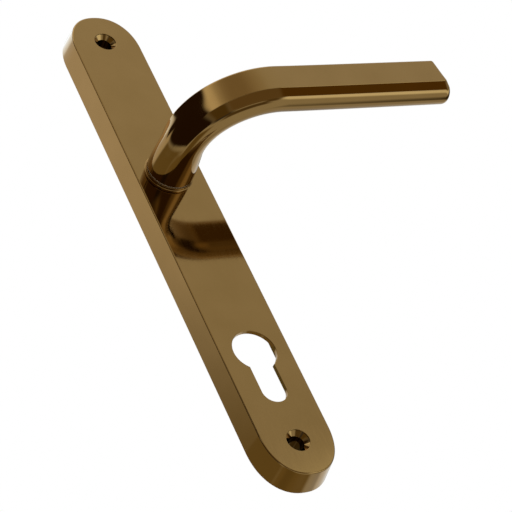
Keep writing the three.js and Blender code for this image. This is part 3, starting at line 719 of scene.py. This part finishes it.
# ---- Hub, washers and clips ----
def build_hub(material):
    skin = Skin()
    end, root, edge = 0.3, 0.4, 0.2
    profile = rounded(HUB_SLEEVE - end, HUB_SLEEVE, HUB_FRONT, HUB_FRONT + end, 4)
    profile += rounded(
        HUB_SLEEVE, HUB_SLEEVE + root, HUB_FLANGE_FRONT - root, HUB_FLANGE_FRONT, 4, flat_first=False,
    )
    profile += rounded(HUB_FLANGE - edge, HUB_FLANGE, HUB_FLANGE_FRONT, HUB_FLANGE_FRONT + edge, 3)
    profile += rounded(HUB_FLANGE, HUB_FLANGE - edge, HUB_BACK - edge, HUB_BACK, 3, flat_first=False)
    bore = flatted(SHANK_RADIUS + FIT, SHANK_FLAT + FIT)
    for grow, y in ((edge, HUB_BACK), (0.0, HUB_BACK - edge), (0.0, HUB_FRONT + edge), (edge, HUB_FRONT)):
        profile.append((lambda angle, grow=grow: bore(angle) + grow, y))
    skin.stack((circle(r, y, count=128) for r, y in profile), closed=True)

    # the fork round the spring's rear leg, and the web that joins it to the flange
    prong_half = (FORK_HALF - FORK_SLOT_HALF) / 2
    for side in (-1, 1):
        x, z = side * (FORK_SLOT_HALF + prong_half), -(FORK_INNER + FORK_OUTER) / 2
        prong = rectangle(prong_half, (FORK_OUTER - FORK_INNER) / 2, FORK_CORNER, x=x, z=z)
        sheet(skin, prong, [], FORK_FRONT, HUB_BACK, FORK_EDGE)
    overlap, inset = 1.0, 0.05               # of the web into the flange, and behind its front face
    inner = HUB_FLANGE - overlap
    web = rectangle(FORK_HALF, (FORK_OUTER - inner) / 2, FORK_CORNER, z=-(FORK_OUTER + inner) / 2)
    sheet(skin, web, [], HUB_FLANGE_FRONT + inset, HUB_BACK, edge)
    return place(skin, "drive_hub_casting", material, "drive_hub", "lever")


def build_ring(node, kind, sizes, material, body):
    skin = Skin()
    skin.stack((circle(r, y, count=128) for r, y in ring_profile(*sizes)), closed=True)
    return place(skin, f"{node}_{kind}", material, node, body)


def build_wave_washer(material):
    skin = Skin()
    section = strip_section(WAVE_HALF, WAVE_SHEET / 2, 0.05, 0.04)
    count = 144
    stations = []
    for i in range(count):
        angle = 2 * math.pi * i / count
        out = Vector((math.cos(angle), 0, math.sin(angle)))
        y = WAVE_Y + WAVE_HEIGHT * math.cos(WAVE_COUNT * angle)
        stations.append((out * WAVE_RADIUS + Vector((0, y, 0)), out, Vector((0, 1, 0))))
    sweep(skin, stations, section, closed=True)
    return place(skin, "wave_washer_pressing", material, "wave_washer", "lever")


def circlip_outline(grow, y):
    """A retaining ring open at the top, with an eye at each end."""
    outer, inner, eye = CIRCLIP_OUTER + grow, CIRCLIP_INNER - grow, EYE_RADIUS + grow
    # where an eye's edge meets the outer edge, seen from the ring's centre and from the eye's
    overlap = math.acos((EYE_AT ** 2 + outer ** 2 - eye ** 2) / (2 * EYE_AT * outer))
    meet = math.atan2(outer * math.sin(overlap), outer * math.cos(overlap) - EYE_AT)

    def arc(radius, start, stop, steps, x=0.0, z=0.0):
        angles = [start + (stop - start) * i / steps for i in range(steps + 1)]
        return [(x + radius * math.cos(a), y, z + radius * math.sin(a)) for a in angles]

    def eye_arc(at, start, stop):
        return arc(eye, at + start, at + stop, 24, EYE_AT * math.cos(at), EYE_AT * math.sin(at))

    return (
        arc(outer, EYE_LEFT + overlap, EYE_RIGHT - overlap + 2 * math.pi, 96)
        + eye_arc(EYE_RIGHT, -meet, math.pi)
        + arc(inner, EYE_RIGHT, EYE_LEFT - 2 * math.pi, 96)[1:-1]
        + eye_arc(EYE_LEFT, -math.pi, meet)
    )


def build_circlip(material):
    skin = Skin()
    holes = [disc(EYE_HOLE, EYE_AT * math.cos(at), EYE_AT * math.sin(at), 24) for at in (EYE_RIGHT, EYE_LEFT)]
    sheet(skin, circlip_outline, holes, CIRCLIP_FRONT, CIRCLIP_BACK, CIRCLIP_EDGE)
    return place(skin, "circlip_pressing", material, "circlip", "lever")


def build_spindle_clip(material):
    skin = Skin()
    top = SPINDLE_HALF + CLIP_RECESS - 0.1 - CLIP_SHEET / 2
    section = strip_section(CLIP_HALF, CLIP_SHEET / 2, 0.08, 0.08)
    steps = 40
    stations = []
    for i in range(steps + 1):
        share = i / steps
        y = CLIP_FRONT + (CLIP_BACK - CLIP_FRONT) * share
        z = top - 2 * CLIP_BOW * share * (1 - share)
        stations.append((Vector((0, y, z)), Vector((1, 0, 0)), Vector((0, 0, 1))))
    sweep(skin, stations, section)
    return place(skin, "spindle_clip_leaf", material, "spindle_clip", "lever")


# ---- Materials ----
# A mix node has a set of sockets for each kind of value, so those for colours go by number.
MIX_SHARE, MIX_FIRST, MIX_SECOND, MIX_RESULT = 0, 6, 7, 2


def feed(tree, node, inputs):
    """Sets a node's inputs, by name or number, to another node's output or to a value."""
    for socket, value in inputs.items():
        if isinstance(value, bpy.types.NodeSocket):
            tree.links.new(value, node.inputs[socket])
        else:
            node.inputs[socket].default_value = value


def add_node(tree, kind, inputs, **settings):
    node = tree.nodes.new(kind)
    for name, value in settings.items():
        setattr(node, name, value)
    feed(tree, node, inputs)
    return node


def calculate(tree, operation, *values):
    """A math node on numbers or outputs."""
    node = add_node(tree, "ShaderNodeMath", dict(enumerate(values)), operation=operation)
    return node.outputs["Value"]


def mix_colours(tree, share, first, second):
    inputs = {MIX_SHARE: share, MIX_FIRST: first, MIX_SECOND: second}
    return add_node(tree, "ShaderNodeMix", inputs, data_type="RGBA").outputs[MIX_RESULT]


def coordinates(tree, kind):
    return add_node(tree, "ShaderNodeTexCoord", {}).outputs[kind]


def noise(tree, scale, detail=3.0, stretch=(1, 1, 1)):
    """Noise in the object's own coordinates; scale is per metre."""
    inputs = {"Vector": coordinates(tree, "Object"), "Scale": stretch}
    position = add_node(tree, "ShaderNodeMapping", inputs).outputs["Vector"]
    inputs = {"Vector": position, "Scale": scale, "Detail": detail}
    return add_node(tree, "ShaderNodeTexNoise", inputs).outputs["Fac"]


def spread(tree, value, low, high, start=0.3, stop=0.7, **settings):
    """Maps a value's range from start to stop onto the one from low to high."""
    inputs = {"Value": value, "From Min": start, "From Max": stop, "To Min": low, "To Max": high}
    return add_node(tree, "ShaderNodeMapRange", inputs, **settings).outputs["Result"]


def ramp(tree, value, stops):
    """Colours by value, through stops of (position, colour)."""
    node = add_node(tree, "ShaderNodeValToRGB", {"Fac": value})
    elements = node.color_ramp.elements
    while len(elements) < len(stops):
        elements.new(0.5)
    for element, (position, colour) in zip(elements, stops):
        element.position = position
        element.color = (*colour, 1)
    return node.outputs["Color"]


def varied(tree, scale, dark, light):
    """A colour that drifts slowly between two."""
    return ramp(tree, noise(tree, scale), [(0.3, dark), (0.7, light)])


def new_material(name, metallic, colour_of, rough, grain_of, height=0.0):
    """A material from a colour and a grain, which sets the roughness and, given a height, the relief."""
    material = bpy.data.materials.new(name)
    material.use_nodes = True
    tree = material.node_tree
    grain = grain_of(tree)
    inputs = {
        "Base Color": colour_of(tree), "Metallic": metallic, "Roughness": spread(tree, grain, *rough),
    }
    if height:
        relief = {"Strength": 1.0, "Distance": height, "Height": grain}
        inputs["Normal"] = add_node(tree, "ShaderNodeBump", relief).outputs["Normal"]
    feed(tree, tree.nodes["Principled BSDF"], inputs)
    return material


def bore_shade_mask(tree):
    """Where shade is painted: one inside the two bores for the fixing screws, nothing elsewhere."""
    split = add_node(tree, "ShaderNodeSeparateXYZ", {"Vector": coordinates(tree, "Object")}).outputs
    middle, reach = (UPPER_SCREW_Z + LOWER_SCREW_Z) / 2, (UPPER_SCREW_Z - LOWER_SCREW_Z) / 2
    from_middle = calculate(tree, "ABSOLUTE", calculate(tree, "SUBTRACT", split["Z"], middle * MM))
    across = calculate(tree, "SUBTRACT", from_middle, reach * MM)
    squares = [calculate(tree, "MULTIPLY", side, side) for side in (across, split["X"])]
    within = ((HOLE_RADIUS + 0.08) * MM) ** 2
    return calculate(tree, "LESS_THAN", calculate(tree, "ADD", *squares), within)


def bronze_material():
    """Mirror-polished bronze plating with faint polishing marks, and shade painted dark inside the bores."""
    def colour(tree):
        plating = varied(tree, 60, (0.265, 0.163, 0.054), (0.285, 0.177, 0.061))
        # painted shade: the plating colour turns a near-black brown inside the bores
        return mix_colours(tree, bore_shade_mask(tree), plating, (0.07, 0.04, 0.012, 1))

    return new_material(
        "polished_bronze", 1.0, colour, (0.05, 0.09),
        lambda tree: noise(tree, scale=900, detail=4, stretch=(1, 1, 0.12)),
    )


def metal_material(name, dark, light, rough, marks_scale=700, height=0.0):
    return new_material(
        name, 1.0, lambda tree: varied(tree, 250, dark, light), rough,
        lambda tree: noise(tree, marks_scale, detail=5), height,
    )


def plastic_material(name, dark, light, rough, height):
    return new_material(
        name, 0.0, lambda tree: varied(tree, 200, dark, light), rough,
        lambda tree: noise(tree, scale=1500, detail=4), height,
    )


# ---- Stage, light and camera ----
CAMERA_PLACE = Vector((-370.2, -527.3, -452.8)) * MM
CAMERA_RIGHT = Vector((0.8565, -0.3496, -0.3798))
CAMERA_FORWARD = Vector((0.5113, 0.6754, 0.5313))
CAMERA_LENS = 134.54       # millimetres on a 36 mm sensor


def build_camera():
    data = bpy.data.cameras.new("camera")
    data.lens = CAMERA_LENS
    data.sensor_width = 36.0
    data.clip_start, data.clip_end = 0.01, 200.0
    camera = bpy.data.objects.new("camera", data)
    forward = CAMERA_FORWARD.normalized()
    right = (CAMERA_RIGHT - CAMERA_RIGHT.dot(forward) * forward).normalized()
    up = right.cross(forward)
    turn = Matrix((right, up, -forward)).transposed().to_4x4()
    camera.matrix_world = Matrix.Translation(CAMERA_PLACE) @ turn
    bpy.context.scene.collection.objects.link(camera)
    bpy.context.scene.camera = camera


# What the polished metal mirrors: cards of light and shade round the handle, each over the ones before it.
# Azimuth from +X towards +Y, elevation, half width, half height and softness, all in degrees, then colour.
CARDS = [
    (-171, 15, 26, 42, 4, (0.04, 0.02, 0.008)),      # dark flag beside the camera
    (-131, 39, 9, 6, 3, (1.36, 1.32, 1.26)),         # small soft box at the flag's corner
    (-95, 60, 28, 7, 4, (2.30, 2.30, 2.30)),         # overhead box in front
    (-92, 8, 32, 15, 5, (0.30, 0.22, 0.12)),         # brown card in front
    (-102, 35, 25, 6, 5, (0.72, 0.67, 0.58)),        # paler cards above it, one inside the other
    (-103, 35, 18, 6, 6, (0.62, 0.55, 0.45)),
    (-104, 35, 11, 6, 6, (0.50, 0.42, 0.31)),
    (-104, 28, 28, 2, 1.5, (0.08, 0.04, 0.01)),      # dark gap between the two
    (-92, -18, 26, 12, 6, (0.28, 0.20, 0.10)),
    (-134, -24, 12, 18, 6, (0.10, 0.09, 0.10)),
    (-134, -1, 10, 22, 4, (0.20, 0.14, 0.05)),       # brown card between the flag and the front one
    (-102, -50, 22, 12, 5, (0.20, 0.15, 0.08)),      # shade below the camera
    (16, -12, 15, 42, 8, (0.10, 0.08, 0.04)),        # shade behind the lever
    (52, 35, 16, 10, 6, (0.33, 0.27, 0.10)),
    (-36, -20, 20, 16, 6, (1.70, 1.85, 2.00)),       # large soft box by the lever's tip
    (-55, -14, 6, 16, 4, (1.70, 1.85, 2.10)),
    (-72, -32, 7, 9, 4, (0.22, 0.16, 0.08)),
    (-40, -8, 12, 9, 6, (0.45, 0.38, 0.20)),
    (-56, 8, 9, 11, 3, (0.20, 0.11, 0.02)),          # shade over the soft boxes
    (-54, 22.5, 7, 2.5, 1.5, (1.70, 1.80, 1.80)),    # thin strip over the shade
    (98, 58, 24, 7, 5, (1.70, 1.90, 2.10)),          # overhead strip behind the plate
    (140, 44, 16, 12, 4, (1.04, 1.00, 0.92)),
    (172, 55, 18, 9, 3, (0.04, 0.02, 0.008)),        # flag overhead
    (140, 0, 17, 29, 4, (0.34, 0.27, 0.13)),         # tall brown card behind the plate
    (120, 26, 12, 9, 4, (0.24, 0.21, 0.09)),
    (44, -3, 9, 18, 5, (1.04, 1.04, 1.00)),
    (105, -46, 36, 13, 5, (0.36, 0.28, 0.13)),
    (155, -54, 26, 12, 5, (0.30, 0.23, 0.10)),
]
FLOOR_Z, FLOOR_HALF = -0.9, 60.0   # metres
SKY = [   # grey behind the cards, from straight down at 0 to straight up at 1
    (0.0, 0.74), (0.2, 0.74), (0.38, 0.60), (0.5, 0.52), (0.64, 0.60), (0.76, 0.78), (0.9, 0.95), (1.0, 1.0),
]


def card_mask(tree, direction, azimuth, elevation, half_across, half_up, soft):
    """One inside a rectangle of directions, nothing outside it, with soft edges."""
    turn, rise = math.radians(azimuth), math.radians(elevation)
    facing = Vector((math.cos(rise) * math.cos(turn), math.cos(rise) * math.sin(turn), math.sin(rise)))
    across = Vector((-math.sin(turn), math.cos(turn), 0))

    def along(axis):
        inputs = {0: direction, 1: axis}
        return add_node(tree, "ShaderNodeVectorMath", inputs, operation="DOT_PRODUCT").outputs["Value"]

    depth = calculate(tree, "MAXIMUM", along(facing), 1e-4)
    mask = calculate(tree, "GREATER_THAN", along(facing), 1e-3)
    for axis, half in ((across, half_across), (facing.cross(across), half_up)):
        offset = calculate(tree, "ABSOLUTE", calculate(tree, "DIVIDE", along(axis), depth))
        start, stop = (math.tan(math.radians(angle)) for angle in (max(half - soft, 0), half + soft))
        edge = spread(tree, offset, 1.0, 0.0, start, stop, interpolation_type="SMOOTHSTEP")
        mask = calculate(tree, "MULTIPLY", mask, edge)
    return mask


def build_world():
    """A soft studio for the metal to mirror, in front of a plain white background."""
    world = bpy.data.worlds.new("studio")
    bpy.context.scene.world = world
    world.use_nodes = True
    tree = world.node_tree
    direction = coordinates(tree, "Generated")
    up = add_node(tree, "ShaderNodeSeparateXYZ", {"Vector": direction}).outputs["Z"]
    height = spread(tree, up, 0.0, 1.0, -1.0, 1.0)
    colour = ramp(tree, height, [(position, (level, level, level)) for position, level in SKY])
    for *place_and_size, card_colour in CARDS:
        colour = mix_colours(tree, card_mask(tree, direction, *place_and_size), colour, (*card_colour, 1))
    seen = add_node(tree, "ShaderNodeLightPath", {}).outputs["Is Camera Ray"]
    feed(tree, tree.nodes["Background"], {"Color": mix_colours(tree, seen, colour, (1, 1, 1, 1))})


def build_floor():
    """A wide pale floor, far enough below the handle to stay out of the picture and of its reflections."""
    mesh = bpy.data.meshes.new("floor")
    corners = [(x * FLOOR_HALF, y * FLOOR_HALF, FLOOR_Z) for x, y in ((-1, -1), (1, -1), (1, 1), (-1, 1))]
    mesh.from_pydata(corners, [], [(0, 1, 2, 3)])
    mesh.materials.append(plastic_material("floor", (0.89, 0.89, 0.88), (0.91, 0.91, 0.90), (0.55, 0.7), 0))
    floor = bpy.data.objects.new("floor", mesh)
    bpy.context.scene.collection.objects.link(floor)
    floor.visible_glossy = False


# ---- Assembly ----
build_camera()
build_world()
build_floor()
bpy.context.scene.view_settings.view_transform = "Standard"

bronze = bronze_material()
cast_zinc = metal_material("cast_zinc", (0.42, 0.42, 0.41), (0.52, 0.52, 0.51), (0.38, 0.55), 900, 2e-5)
zinc_steel = metal_material("zinc_steel", (0.56, 0.57, 0.60), (0.68, 0.68, 0.66), (0.22, 0.36))
screw_steel = metal_material("screw_steel", (0.60, 0.60, 0.62), (0.70, 0.69, 0.66), (0.18, 0.3))
spring_steel = metal_material("spring_steel", (0.14, 0.14, 0.16), (0.24, 0.23, 0.24), (0.28, 0.45))
acetal = plastic_material("acetal", (0.80, 0.78, 0.71), (0.86, 0.84, 0.78), (0.35, 0.5), 8e-6)
brown_acetal = plastic_material("brown_acetal", (0.22, 0.155, 0.09), (0.26, 0.185, 0.11), (0.35, 0.5), 8e-6)
rubber = plastic_material("stop_rubber", (0.03, 0.03, 0.033), (0.05, 0.05, 0.055), (0.7, 0.9), 2e-5)

build_backplate(bronze)
build_lever(bronze)
build_ring("neck_bush", "turned", NECK_BUSH, acetal, "plate")
build_ring("collar_washer", "turned", COLLAR_WASHER, brown_acetal, "plate")
build_tray(zinc_steel)
build_cover(zinc_steel)
for number, (screw_x, screw_z) in enumerate(CASSETTE_PLACES, start=1):
    build_cassette_screw(number, screw_x, screw_z, screw_steel)
build_stop_pad("stop_pad_right", 1, rubber)
build_stop_pad("stop_pad_left", -1, rubber)
build_spring(spring_steel)
build_ring("thrust_washer", "pressing", THRUST_WASHER, zinc_steel, "lever")
build_hub(cast_zinc)
build_ring("flange_washer", "turned", FLANGE_WASHER, acetal, "plate")
build_wave_washer(spring_steel)
build_circlip(spring_steel)
build_spindle_clip(spring_steel)
